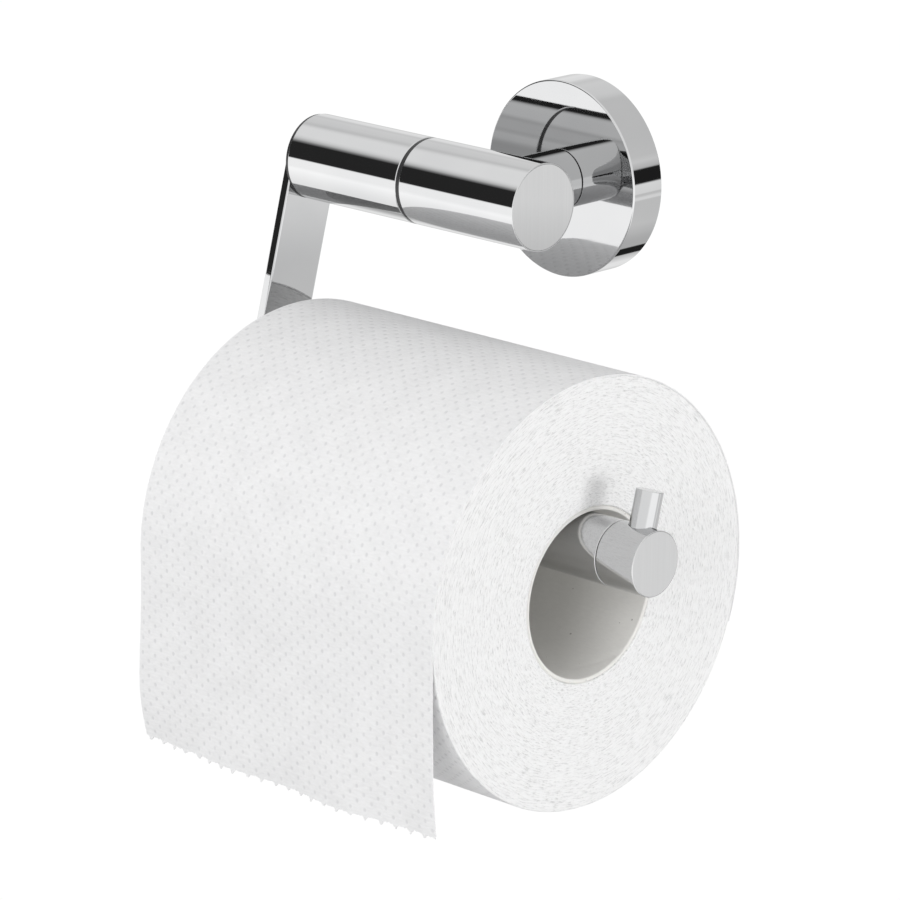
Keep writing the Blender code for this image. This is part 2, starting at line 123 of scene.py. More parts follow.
# %% [markdown]
# ## Helpers for node trees
#
# Every finish is a tree of nodes. A few helpers keep the trees short to write. The first adds a node
# with its settings and its inputs in a single call. The others each add one node that reckons, and
# give back its result. They find the tree from the sockets that they are given.

# %% Node helpers
def add(tree, kind, settings=None, **inputs):
    """Add a node. An input is named by its label, with _ for spaces, and is a value or a socket."""
    item = tree.nodes.new(kind)
    for key, value in (settings or {}).items():
        setattr(item, key, value)
    for key, value in inputs.items():
        put(item, key.replace("_", " "), value)
    return item


def put(item, key, value):
    """Give an input a value, or link a socket to it."""
    if isinstance(value, bpy.types.NodeSocket):
        item.id_data.links.new(value, item.inputs[key])
    else:
        item.inputs[key].default_value = value


def tree_of(*values):
    """The tree that the first socket among the values is in."""
    return next(value for value in values if isinstance(value, bpy.types.NodeSocket)).id_data


def maths(operation, *values):
    """A Math node's result."""
    item = add(tree_of(*values), "ShaderNodeMath", {"operation": operation})
    for index, value in enumerate(values):
        put(item, index, value)
    return item.outputs[0]


def xyz(**axes):
    """A vector made of its X, Y and Z."""
    return add(tree_of(*axes.values()), "ShaderNodeCombineXYZ", **axes).outputs[0]


def axes_of(vector):
    """A vector's X, Y and Z."""
    return add(vector.id_data, "ShaderNodeSeparateXYZ", Vector=vector).outputs


def vector_maths(operation, *values):
    """A Vector Math node's result, which is a number or a vector."""
    item = add(tree_of(*values), "ShaderNodeVectorMath", {"operation": operation})
    for index, value in enumerate(values):
        put(item, 3 if operation == "SCALE" and index == 1 else index, value)
    return item.outputs["Value" if operation in ("LENGTH", "DOT_PRODUCT") else "Vector"]


def mapped(value, low, high, to_low, to_high, smooth=False):
    """A value moved from one range to another."""
    kind = "SMOOTHSTEP" if smooth else "LINEAR"
    item = add(value.id_data, "ShaderNodeMapRange", {"interpolation_type": kind}, Value=value)
    for index, number in enumerate((low, high, to_low, to_high), start=1):
        item.inputs[index].default_value = number
    return item.outputs[0]


def ramp(value, stops):
    """A colour ramp from (position, grey or colour) pairs."""
    item = add(value.id_data, "ShaderNodeValToRGB", Fac=value)
    elements = item.color_ramp.elements
    while len(elements) < len(stops):
        elements.new(1.0)
    for element, (position, colour) in zip(elements, stops):
        if isinstance(colour, (int, float)):
            colour = (colour, colour, colour)
        element.position = position
        element.color = (*colour, 1.0)
    return item.outputs["Color"]


def blended(share, first, second):
    """Two colours or shades mixed by a share."""
    item = add(share.id_data, "ShaderNodeMix", {"data_type": "RGBA"})
    put(item, 0, share)
    for index, colour in ((6, first), (7, second)):
        if isinstance(colour, tuple):
            colour = (*colour, 1.0)
        put(item, index, colour)
    return item.outputs[2]


# %% [markdown]
# ## The studio
#
# Chrome has no colour of its own: it looks like what stands around it. A product studio is built
# for that. Here it is a pale overhead, a long black card in front that gives the tube its dark
# stripe, and a bright table below. The cards are painted by direction onto the world, and only
# reflections see them. Paper is matt, so it takes its light from an even, soft white surround and
# from three soft area lights, which reflections don't see.

# %% Reflection cards, by direction
TABLE_SIDE = [(-90, 1.00), (-62, 1.08), (-44, 1.26), (-30, 1.46), (-20, 1.60)]
FRONT_CARDS = TABLE_SIDE + [  # elevation in degrees and brightness, towards the room
    (-14, 1.46), (-8, 1.44), (-1.0, 1.44), (0.6, 0.04), (2.0, 0.03), (28.5, 0.03), (31.5, 0.35),
    (33.5, 0.70), (37, 1.05), (40, 1.17), (90, 1.17),
]
OPEN_CARDS = TABLE_SIDE + [(-14, 1.48), (-8, 1.48), (0, 1.50), (3, 1.17), (90, 1.17)]  # no black card
BACK_LEFT_CARDS = [
    (-90, 0.30), (-60, 0.30), (-48, 0.36), (-40, 0.90), (-36, 1.10), (-30, 1.00), (-23, 0.74),
    (-5, 0.72), (0, 0.78), (8, 1.02), (17, 1.06), (21, 0.92), (24, 0.88), (29, 0.97), (40, 0.97),
    (44, 0.86), (47, 1.17), (90, 1.17),
]
BACK_RIGHT_CARDS = [
    (-90, 0.60), (-44, 0.64), (-41, 0.76), (-36, 0.87), (-20.2, 0.85), (-19.0, 0.86), (-18.6, 1.09),
    (-16.6, 1.09), (-15.4, 0.86), (-13.70, 0.84), (-13.62, 1.08), (-6.2, 1.13), (-5.2, 0.02),
    (5.6, 0.02), (6.6, 0.72), (12, 0.94), (16, 0.86), (43, 0.83), (60, 0.95), (90, 1.17),
]
BRIGHTEST_CARD = 2.0  # ramps hold colours from 0 to 1, so shades are stored as shares of this


def cards(rows):
    """The shade that a row of cards has at the sky's elevation."""
    stops = [((degrees + 90) / 180, shade / BRIGHTEST_CARD) for degrees, shade in rows]
    return ramp(mapped(elevation, -90, 90, 0, 1), stops)


def between(value, low, high, soft):
    """1 between two angles of the sky and 0 outside them, with soft ends."""
    rise = mapped(value, low - soft, low + soft, 0, 1, smooth=True)
    fall = mapped(value, high - soft, high + soft, 1, 0, smooth=True)
    return maths("MULTIPLY", rise, fall)


world = bpy.data.worlds.new("studio")
bpy.context.scene.world = world
world.use_nodes = True
sky = world.node_tree
sky.nodes.clear()
parts = axes_of(add(sky, "ShaderNodeTexCoord").outputs["Generated"])
elevation = maths("MULTIPLY", maths("ARCSINE", parts["Z"]), math.degrees(1))
away = maths("MULTIPLY", parts["Y"], -1.0)
azimuth = maths("MULTIPLY", maths("ARCTAN2", parts["X"], away), math.degrees(1))
behind = maths("SUBTRACT", 1.0, between(azimuth, -96, 122, 8))
front = blended(between(azimuth, -120, -24, 3), cards(OPEN_CARDS), cards(FRONT_CARDS))
rear = blended(between(azimuth, -167, -15, 4), cards(BACK_RIGHT_CARDS), cards(BACK_LEFT_CARDS))
low_card = maths("MULTIPLY", between(azimuth, -177.5, -165, 1.0), between(elevation, -70, -25, 2))
rear = blended(low_card, rear, (0.01, 0.01, 0.01))
reflected = vector_maths("SCALE", blended(behind, front, rear), BRIGHTEST_CARD)
print("studio cards:", sum(map(len, (FRONT_CARDS, OPEN_CARDS, BACK_LEFT_CARDS, BACK_RIGHT_CARDS))), "stops")

# %% Soft light for matt surfaces
SURROUND = 0.655  # brightness that matt surfaces see above the table
TABLE_GLOW = 0.55  # the same, from the table
HOLDER_MIDDLE = Vector((0, 0, -0.06))

soft = mapped(elevation, -4, 2, TABLE_GLOW, SURROUND)
rays = add(sky, "ShaderNodeLightPath").outputs
lit = blended(rays["Is Glossy Ray"], soft, reflected)
shown = blended(rays["Is Camera Ray"], lit, (1.0, 1.0, 1.0))
surround = add(sky, "ShaderNodeBackground", Color=shown)
add(sky, "ShaderNodeOutputWorld", Surface=surround.outputs[0])

# name: place, side of the square in metres and power in watts
SOFT_LIGHTS = {
    "key_light": ((2.0, 0.22, -0.16), 0.55, 11.8),
    "front_light": ((0.45, -1.80, 0.55), 1.2, 12.0),
    "fill_light": ((1.90, -0.50, -0.12), 0.6, 0.9),
}
for name, (place, size, power) in SOFT_LIGHTS.items():
    data = bpy.data.lights.new(name, "AREA")
    data.size, data.energy = size, power
    item = placed(name, data)
    item.location = place
    item.rotation_euler = (HOLDER_MIDDLE - Vector(place)).to_track_quat("-Z", "Y").to_euler()
    item.visible_glossy = False
print("soft lights:", len(SOFT_LIGHTS))

# %% [markdown]
# One card is real and stands close to the holder, at the left. It is narrow and low, so that only
# the arm's front edge mirrors it, and only below the middle of the arm. Nothing but a reflection
# can see it.

# %% The low card beside the arm
CARD_TOP, CARD_FOOT, CARD_HALF_WIDTH = -0.0096, -0.045, 0.12
CARD_AZIMUTH, CARD_DISTANCE = math.radians(-44.5), 0.15
CARD_GLOW = 1.46
ARM_EDGE_PLACE = Vector((-0.0585, -0.050, 0))  # near the middle of the arm's front edge


def backdrop(name, corners):
    """A four-cornered sheet that isn't part of the holder, and the empty tree of its finish."""
    mesh = bpy.data.meshes.new(name)
    mesh.from_pydata(corners, [], [(0, 1, 2, 3)])
    material = bpy.data.materials.new(name)
    material.use_nodes = True
    material.node_tree.nodes.clear()
    mesh.materials.append(material)
    item = placed(name, mesh)
    return item, material.node_tree


towards_card = Vector((math.sin(CARD_AZIMUTH), -math.cos(CARD_AZIMUTH), 0))
along_card = Vector((towards_card.y, -towards_card.x, 0)) * CARD_HALF_WIDTH
card, tree = backdrop("low_white_card", [
    ARM_EDGE_PLACE + towards_card * CARD_DISTANCE + along_card * side + UP * height
    for side, height in ((-1, CARD_FOOT), (1, CARD_FOOT), (1, CARD_TOP), (-1, CARD_TOP))])
card.visible_camera = card.visible_diffuse = card.visible_shadow = card.visible_transmission = False
glow = add(tree, "ShaderNodeEmission", Color=(1.0, 1.0, 1.0, 1), Strength=CARD_GLOW)
add(tree, "ShaderNodeOutputMaterial", Surface=glow.outputs[0])
print("low card:", round((CARD_TOP - CARD_FOOT) * 1000, 1), "mm high")

# %% [markdown]
# The table is far below the holder, which hangs on a wall that isn't built. It is plain and pale.
# The camera sees it lit from inside, as a white ground. To everything else it is a plain matt
# surface, so that the underside of the roll stays darker than its front, and reflections pass
# through it to the studio cards. A camera below the table looks through it, up at the holder.

# %% The table
TABLE_Z, TABLE_HALF = -0.36, 60.0
TABLE_GREY = 0.62  # as a matt surface
TABLE_WHITE = 1.02  # as the camera sees it

table, tree = backdrop("pale_table", [(x * TABLE_HALF, y * TABLE_HALF, TABLE_Z)
                                      for x, y in ((-1, -1), (1, -1), (1, 1), (-1, 1))])
table.visible_glossy = False
seen = add(tree, "ShaderNodeLightPath").outputs["Is Camera Ray"]
from_below = maths("MULTIPLY", seen, add(tree, "ShaderNodeNewGeometry").outputs["Backfacing"])
paint = add(tree, "ShaderNodeBsdfDiffuse", Color=(TABLE_GREY, TABLE_GREY, TABLE_GREY, 1)).outputs[0]
glow = add(tree, "ShaderNodeEmission", Color=(1.0, 1.0, 1.0, 1), Strength=TABLE_WHITE).outputs[0]
clear = add(tree, "ShaderNodeBsdfTransparent").outputs[0]
for share, other in ((seen, glow), (from_below, clear)):
    both = add(tree, "ShaderNodeMixShader", Fac=share)
    put(both, 1, paint)
    put(both, 2, other)
    paint = both.outputs[0]
add(tree, "ShaderNodeOutputMaterial", Surface=paint)
print("table:", -TABLE_Z, "m below the tube's axis")


# %% [markdown]
# ## The finishes
#
# A finish has three layers: a colour that varies a little, a roughness that varies a little, and a
# fine bump. All patterns use Object coordinates in metres or the piece's own surface coordinates,
# so they stay on the piece when it moves.

# %% What the finishes share
SURFACE = "surface_metres"  # name of the surface coordinates on every turned piece


def finish(name, metallic=0.0, on_surface=False, **fixed):
    """A Principled material; gives the material, its shader and the place of its pattern."""
    material = bpy.data.materials.new(name)
    material.use_nodes = True
    tree = material.node_tree
    shader = tree.nodes["Principled BSDF"]
    shader.inputs["Metallic"].default_value = metallic
    for key, value in fixed.items():
        shader.inputs[key.replace("_", " ")].default_value = value
    if on_surface:
        return material, shader, add(tree, "ShaderNodeUVMap", {"uv_map": SURFACE}).outputs[0]
    return material, shader, add(tree, "ShaderNodeTexCoord").outputs["Object"]


def grain(where, scale, stretch=(1, 1, 1), detail=3.0, rough=0.55, offset=(0, 0, 0)):
    """Noise on the given coordinates; a stretch below 1 draws it out along that axis."""
    tree = where.id_data
    spread = add(tree, "ShaderNodeMapping", Vector=where, Scale=stretch, Location=offset)
    return add(tree, "ShaderNodeTexNoise", Vector=spread.outputs[0], Scale=scale, Detail=detail,
               Roughness=rough).outputs["Fac"]


def bumped(shader, height, strength, distance, under=None):
    """Run a height through a Bump node into the shader, on top of an earlier bump."""
    earlier = {} if under is None else {"Normal": under}
    item = add(shader.id_data, "ShaderNodeBump", Strength=strength, Distance=distance, Height=height,
               **earlier)
    put(shader, "Normal", item.outputs[0])
    return item.outputs[0]


# %% [markdown]
# Polished chrome is a bright nickel and chrome plate over brass. It is almost a mirror, but buffing
# leaves hair-fine lines and the roughness is never quite even.

# %% Polished chrome
def make_polished_chrome():
    material, shader, where = finish("polished_chrome", metallic=1.0)
    cloud = grain(where, 55, detail=2)
    put(shader, "Base Color",
        ramp(cloud, [(0.3, (0.548, 0.551, 0.556)), (0.7, (0.572, 0.574, 0.576))]))
    put(shader, "Roughness", mapped(grain(where, 160), 0.3, 0.75, 0.018, 0.052))
    hair = grain(where, 2600, stretch=(0.06, 1, 1), detail=2)
    bumped(shader, hair, 0.016, 0.00002)
    return material


POLISHED = make_polished_chrome()


# %% [markdown]
# The end faces are brushed in one direction before plating. The lines run up and down, a few tenths
# of a millimetre apart, so the noise is drawn out a long way along Z and left tight along Y.

# %% Brushed end faces
def make_brushed(name, shades, roughness, stretch, relief):
    material, shader, where = finish(name, metallic=1.0)
    lines = grain(where, 2400, stretch=stretch, detail=3, rough=0.6)
    broad = grain(where, 1300, stretch=stretch, detail=2)
    both = maths("ADD", maths("MULTIPLY", lines, 0.6), maths("MULTIPLY", broad, 0.4))
    put(shader, "Base Color", ramp(both, list(zip((0.36, 0.64), shades))))
    put(shader, "Roughness", mapped(both, 0.35, 0.65, *roughness))
    bumped(shader, lines, relief, 0.00004)
    return material


BRUSHED_FACE = make_brushed("brushed_end_face", ((0.560, 0.562, 0.565), (0.582, 0.583, 0.585)),
                            (0.014, 0.030), (0.5, 1.6, 0.016), 0.008)
FINE_TURNED = make_brushed("fine_turned_chrome", ((0.545, 0.547, 0.551), (0.572, 0.573, 0.575)),
                           (0.05, 0.10), (0.012, 1.0, 1.0), 0.03)


# %% [markdown]
# Steel and zinc inside the holder are plain machined or cast parts. Nobody sees them in use, but
# they come to light when the rosette is off the wall.

# %% Machined steel and cast zinc
def make_plain(name, metallic, shades, cloud_scale, texture, roughness, relief, depth):
    """A cloudy colour, and one texture that sets both the roughness and the bump."""
    material, shader, where = finish(name, metallic=metallic)
    fine = grain(where, **texture)
    put(shader, "Base Color", blended(grain(where, cloud_scale), *shades))
    put(shader, "Roughness", mapped(fine, 0.3, 0.7, *roughness))
    bumped(shader, fine, relief, depth)
    return material


MACHINED = make_plain("machined_steel", 1.0, ((0.47, 0.475, 0.485), (0.62, 0.62, 0.62)), 180,
                      dict(scale=1800, stretch=(1, 0.05, 0.05), detail=2), (0.24, 0.40), 0.25, 0.00003)
CAST = make_plain("cast_zinc", 1.0, ((0.44, 0.45, 0.46), (0.60, 0.61, 0.62)), 130,
                  dict(scale=2600, detail=4), (0.38, 0.56), 0.35, 0.00005)


# %% [markdown]
# The rings that keep the tube's halves and the arm from rubbing are black acetal, and the bushings
# inside are natural nylon. Both are moulded, with a faint, fine texture.

# %% Moulded plastics
MOULDED = dict(scale=5200, detail=2)
BLACK = make_plain("black_acetal", 0.0, ((0.010, 0.010, 0.011), (0.022, 0.022, 0.023)), 900,
                   MOULDED, (0.34, 0.46), 0.2, 0.00003)
NYLON = make_plain("natural_nylon", 0.0, ((0.78, 0.77, 0.71), (0.88, 0.87, 0.82)), 400,
                   MOULDED, (0.42, 0.55), 0.2, 0.00003)


# %% [markdown]
# The core is wound from grey recycled board. Its inside shows fine fibres that follow the winding,
# small dark specks, and a spiral seam. The pattern uses the piece's own surface coordinates: the
# first runs round the tube and the second along it, both in metres.

# %% Recycled board
def make_board():
    material, shader, where = finish("recycled_board", on_surface=True, Roughness=0.9,
                                     Specular_IOR_Level=0.25)
    tree = where.id_data
    fibres = grain(where, 1500, stretch=(1.0, 0.30, 1), detail=5, rough=0.7)
    cloud = grain(where, 160, detail=3)
    base = blended(cloud, (0.855, 0.846, 0.818), (0.905, 0.896, 0.868))
    toned = blended(mapped(fibres, 0.3, 0.72, 0.0, 1.0), base, (0.93, 0.92, 0.89))
    cells = add(tree, "ShaderNodeTexVoronoi", {"feature": "F1"}, Vector=where, Scale=620.0)
    chance = add(tree, "ShaderNodeSeparateColor", Color=cells.outputs["Color"]).outputs[0]
    size = mapped(chance, 0.70, 1.0, 0.0, 0.17)
    speck = maths("LESS_THAN", cells.outputs["Distance"], size)
    put(shader, "Base Color",
        blended(maths("MULTIPLY", speck, 0.50), toned, (0.22, 0.20, 0.18)))
    bumped(shader, fibres, 0.35, 0.00008)
    return material


BOARD = make_board()


# %% [markdown]
# The cut ends of the roll show the edges of hundreds of windings. Each is a soft, slightly crushed
# line, so the pattern is noise drawn out round the axis and kept tight across it. Turning the place
# into a unit vector round the axis plus the radius makes that pattern join up without a seam.

# %% Wound tissue
ROUND_SCALE = 0.0058  # how far round the axis a crushed winding runs, against its thickness


def make_wound_tissue():
    material, shader, place = finish("wound_tissue", Roughness=0.95, Specular_IOR_Level=0.1)
    where = add(place.id_data, "ShaderNodeMapping", Vector=place, Location=-ROLL_AXIS).outputs[0]
    parts = axes_of(where)
    flat = xyz(Y=parts["Y"], Z=parts["Z"])
    circle = axes_of(vector_maths("NORMALIZE", flat))
    polar = xyz(X=vector_maths("LENGTH", flat),
                Y=maths("MULTIPLY", circle["Y"], ROUND_SCALE),
                Z=maths("MULTIPLY", circle["Z"], ROUND_SCALE))
    windings = grain(polar, 3300, detail=4, rough=0.70)
    coarse = grain(polar, 700, detail=3, offset=(3, 1, 2))
    fibre = grain(where, 1500, detail=4, rough=0.7)
    height = maths("ADD", maths("MULTIPLY", windings, 0.80),
                   maths("MULTIPLY", fibre, 0.20))
    # Painted shade: the colour darkens where the windings sink, as shade in the gaps between them.
    put(shader, "Base Color",
        ramp(height, [(0.37, 0.70), (0.45, 0.89), (0.52, 0.965), (0.60, 0.995)]))
    first = bumped(shader, height, 0.50, 0.00016)
    bumped(shader, coarse, 0.25, 0.0002, under=first)
    return material


WOUND = make_wound_tissue()


# %% [markdown]
# The outside of the paper is soft, white and embossed with rows of small dots. The dots are real
# dimples in the mesh, and each vertex carries how deep it lies. The finish darkens the bottoms a
# little as painted shade in the dimples, and adds the creped grain across the web.

# %% Embossed tissue
DIMPLE = "dimple"
DOT_RADIUS = 0.00066
DOT_DEPTH = 0.00022
DOTS_ROUND = 0.00375  # one repeat of the dots along the web, which holds two rows
DOTS_ACROSS = 0.00416  # one repeat of the dots across the web


def marked_depth(where):
    """How deep a dimple is, from the depths that the sheet's vertices carry."""
    return add(where.id_data, "ShaderNodeAttribute", {"attribute_name": DIMPLE}).outputs["Fac"]


def repeated_depth(where):
    """The same dots by rule, for windings that have no dimples in the mesh."""
    parts = axes_of(where)
    gaps = []
    for corner in (0.25, 0.75):
        offsets = []
        for axis, repeat in (("X", DOTS_ROUND), ("Y", DOTS_ACROSS)):
            share = maths("FRACT", maths("DIVIDE", parts[axis], repeat))
            offsets.append(maths("MULTIPLY", maths("SUBTRACT", share, corner), repeat))
        gaps.append(vector_maths("LENGTH", xyz(X=offsets[0], Y=offsets[1])))
    return mapped(maths("MINIMUM", *gaps), 0.0, DOT_RADIUS, 1.0, 0.0)


def make_tissue(name, find_depth, relief):
    material, shader, where = finish(name, on_surface=True, Roughness=0.95, Specular_IOR_Level=0.1)
    crepe = grain(where, 1500, stretch=(0.35, 1, 1), detail=4, rough=0.65)
    cloud = grain(where, 120, detail=3)
    tone = maths("ADD", maths("MULTIPLY", cloud, 0.35), maths("MULTIPLY", crepe, 0.65))
    paper = blended(mapped(tone, 0.35, 0.65, 0, 1), (0.885, 0.885, 0.89), (0.985, 0.985, 0.99))
    depth = find_depth(where)
    uneven = mapped(grain(where, 260, detail=1, offset=(5, 2, 0)), 0.3, 0.7, 0.55, 1.0)
    # Painted shade: the bottoms of the dimples, and the dots drawn by rule, darken with their depth, a
    # little unevenly.
    share = maths("MULTIPLY", mapped(depth, 0.06, 0.62, 0.0, 0.74, smooth=True), uneven)
    put(shader, "Base Color", blended(share, paper, (0.745, 0.745, 0.755)))
    first = bumped(shader, crepe, 0.32, 0.00009)
    if relief:
        bumped(shader, maths("MULTIPLY", depth, -1.0), relief, DOT_DEPTH, under=first)
    return material


EMBOSSED = make_tissue("embossed_tissue", marked_depth, 0.0)
UNDER_WINDING = make_tissue("under_winding_tissue", repeated_depth, 0.8)
SLOT_FINISH = {
    "polished_chrome": POLISHED,
    "satin_chrome": BRUSHED_FACE,
    "zinc_casting": CAST,
    "plain_steel": MACHINED,
    "black_ring": BLACK,
    "nylon": NYLON,
    "cardboard": BOARD,
    "tissue_roll": WOUND,
    "tissue_sheet": EMBOSSED,
}
print("finishes:", len({*SLOT_FINISH.values(), FINE_TURNED, UNDER_WINDING}))


# %% [markdown]
# ## Turned pieces
#
# Most of the holder comes off a lathe: a profile of radius and distance, turned about an axis. A
# mirror shows every flat spot, so there are 160 steps round. Real edges are never sharp, so each
# corner of a profile gets a small arc. Next to each arc lies a support point on the flat, which
# keeps the shading of a large flat face from bending towards its edge.

# %% Rounding a profile's corners
def softened(corners, closed=False, steps=5, support=0.00006):
    """(radius, distance, rounding) corners as (radius, distance) points with arcs."""
    points = []
    count = len(corners)
    for index, (radius, along, rounding) in enumerate(corners):
        end = not closed and index in (0, count - 1)
        if end or rounding == 0:
            points.append((radius, along))
            continue
        here = Vector((radius, along))
        before = (Vector(corners[index - 1][:2]) - here).normalized()
        after = (Vector(corners[(index + 1) % count][:2]) - here).normalized()
        half = before.angle(after) / 2
        reach = rounding / math.tan(half)
        middle = here + (before + after).normalized() * (rounding / math.sin(half))
        first = here + before * reach - middle
        sweep = first.angle_signed(here + after * reach - middle)
        points.append(tuple(here + before * (reach + support)))
        for step in range(steps + 1):
            spoke = Matrix.Rotation(-sweep * step / steps, 2) @ first
            points.append(tuple(middle + spoke))
        points.append(tuple(here + after * (reach + support)))
    return points


# %% [markdown]
# The lathe itself. It also lays surface coordinates in metres on every face: round the piece and
# along the profile.

# %% The lathe
SEGMENTS = 160
SHARP_ANGLE = 30  # degrees; a steeper edge isn't shaded smooth


def mesh_from(name, work):
    """A mesh from a bmesh, which is then let go."""
    mesh = bpy.data.meshes.new(name)
    work.to_mesh(mesh)
    work.free()
    return mesh


def finished(name, work, materials):
    """Turn a bmesh into an object with smooth shading and outward faces."""
    bmesh.ops.recalc_face_normals(work, faces=work.faces)
    mesh = mesh_from(name, work)
    mesh.shade_smooth()
    mesh.set_sharp_from_angle(angle=math.radians(SHARP_ANGLE))
    for material in materials:
        mesh.materials.append(material)
    return placed(name, mesh)


def turned(name, profile, axis, origin, materials, closed=False, segments=SEGMENTS, shape=None,
           face_material=None):
    """Turn (radius, distance) points about an axis; shape may move each point first."""
    axis = Vector(axis).normalized()
    side = UP if abs(axis.z) < 0.7 else OUTWARD
    side = (side - axis * side.dot(axis)).normalized()
    other = axis.cross(side)
    work = bmesh.new()
    surface = work.loops.layers.uv.new(SURFACE)
    rings = []
    for radius, along in profile:
        if radius < 1e-7:
            rings.append([work.verts.new(origin + axis * along)])
            continue
        ring = []
        for step in range(segments):
            angle = 2 * math.pi * step / segments
            r, a = shape(radius, along, angle) if shape else (radius, along)
            ring.append(work.verts.new(
                origin + axis * a + (side * math.cos(angle) + other * math.sin(angle)) * r))
        rings.append(ring)
    lengths = [0.0]
    for (r0, a0), (r1, a1) in zip(profile, profile[1:] + profile[:1]):
        lengths.append(lengths[-1] + math.hypot(r1 - r0, a1 - a0))
    pairs = len(profile) if closed else len(profile) - 1
    for index in range(pairs):
        low, high = rings[index], rings[(index + 1) % len(rings)]
        reach = max(profile[index][0], profile[(index + 1) % len(profile)][0])
        for step in range(segments):
            corners = [(low, step, 0), (low, step + 1, 0), (high, step + 1, 1), (high, step, 1)]
            seen, rows = [], []
            for ring, at, level in corners:
                vert = ring[at % len(ring)]
                if vert not in seen:
                    seen.append(vert)
                    rows.append((reach * 2 * math.pi * at / segments, lengths[index + level]))
            face = work.faces.new(seen)
            for loop, place in zip(face.loops, rows):
                loop[surface].uv = place
            if face_material:
                face.material_index = face_material(index, profile)
    return finished(name, work, materials)


def stands_for(item, node):
    """Attach a piece to the body of the CAD node it replaces, and hide that node."""
    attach(item, BODY_OF[node])
    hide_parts(node)
    print(item.name, "for", node + ":", len(item.data.polygons), "faces")


# %% [markdown]
# ## The rosette
#
# The rosette is a shallow turned cup that hides the wall bracket. It is a shell with a wall and a
# face, open towards the wall, with a small hole underneath for the set screw. The hole is cut with
# a Boolean, because it crosses a curved wall.

# %% Rosette with its set screw hole
ORIGIN = Vector((0, 0, 0))
EDGE = 0.0004  # rounding of polished edges
FACE_THICKNESS, WALL_THICKNESS = 0.0022, 0.0018
HOLE_GAP = 0.0001  # how much wider a hole's radius is than what stands in it
BORE_THROUGH = 0.006

low, high = box("rosette_cover")
ROSETTE_RADIUS, ROSETTE_DEPTH = high.z, -low.y
inside = ROSETTE_DEPTH - FACE_THICKNESS
rosette = turned("rosette", softened([
    (0, ROSETTE_DEPTH, 0),
    (ROSETTE_RADIUS, ROSETTE_DEPTH, EDGE),
    (ROSETTE_RADIUS, 0, EDGE / 2),
    (ROSETTE_RADIUS - WALL_THICKNESS, 0, 0.0001),
    (ROSETTE_RADIUS - WALL_THICKNESS, inside, 0.0006),
    (0, inside, 0),
]), OUTWARD, ORIGIN, [POLISHED], segments=224)


def plain_mesh(item):
    """Apply an object's modifiers."""
    graph = bpy.context.evaluated_depsgraph_get()
    mesh = bpy.data.meshes.new_from_object(item.evaluated_get(graph))
    item.modifiers.clear()
    item.data = mesh


def bored(item, radius, origin, axis, reach, sides=64):
    """Cut a round hole and keep the result as a plain mesh."""
    work = bmesh.new()
    bmesh.ops.create_cone(work, cap_ends=True, segments=sides, radius1=radius, radius2=radius,
                          depth=reach)
    upright = UP.rotation_difference(axis).to_matrix().to_4x4()
    bmesh.ops.transform(work, matrix=Matrix.Translation(origin) @ upright, verts=work.verts)
    borer = placed("borer", mesh_from("borer", work))
    cut = item.modifiers.new("hole", "BOOLEAN")
    cut.operation, cut.solver, cut.object = "DIFFERENCE", "EXACT", borer
    plain_mesh(item)
    bpy.data.objects.remove(borer, do_unlink=True)


low, high = box("rosette_set_screw")
screw_place = Vector((0, (low.y + high.y) / 2, -ROSETTE_RADIUS))
bored(rosette, (high.x - low.x) / 2 + HOLE_GAP, screw_place, UP, BORE_THROUGH)
stands_for(rosette, "rosette_cover")

# %% [markdown]
# ## The post
#
# The post is a short round bar from the rosette to the tube. Its far end is hollowed out to sit on
# the tube, like a saddle, so that end follows a rule: at each point it stops where the tube's
# surface begins.

# %% Post with a saddled end
low, high = box("fixed_tube")
TUBE_RADIUS = high.z
TUBE_RIGHT, FIXED_LEFT = high.x, low.x
low, high = box("post")
POST_RADIUS, POST_FOOT = high.z, -high.y
POST_BORE = 0.0032
POST_FOOT_EDGE, SADDLE_EDGE = 0.00012, 0.00008
SADDLE_GAP = 0.00012
SADDLE_REACH = 0.002  # how far the saddle's shape runs back along the post
tube_distance = -TUBE_AXIS.y
saddle_end = tube_distance - TUBE_RADIUS


def saddle(radius, along, angle):
    """Points past the saddle mark follow the tube; the angle starts at the top of the post."""
    if along < saddle_end - SADDLE_REACH:
        return radius, along
    height = radius * math.cos(angle)
    grown = TUBE_RADIUS + SADDLE_GAP
    return radius, tube_distance - math.sqrt(grown ** 2 - height ** 2) + (along - saddle_end)


post_profile = softened([
    (POST_BORE, POST_FOOT, 0), (POST_RADIUS, POST_FOOT, POST_FOOT_EDGE),
    (POST_RADIUS, saddle_end - 0.003, 0), (POST_RADIUS, saddle_end - SADDLE_EDGE, 0),
    (POST_RADIUS - SADDLE_EDGE, saddle_end, 0), (POST_RADIUS - 0.0012, saddle_end, 0),
    (POST_BORE, saddle_end, 0),
])
support_post = turned("support_post", post_profile, OUTWARD, ORIGIN, [POLISHED], closed=True,
                      shape=saddle)
stands_for(support_post, "post")

# %% [markdown]
# ## The tube
#
# The tube is in two halves. The fixed half sits on the post and is counterbored for a brushed end
# disc, which lies flush. The swivelling half turns on a shaft inside. Between them is a black ring,
# set a little below the surface, and each half has a tiny chamfer there that catches the light.

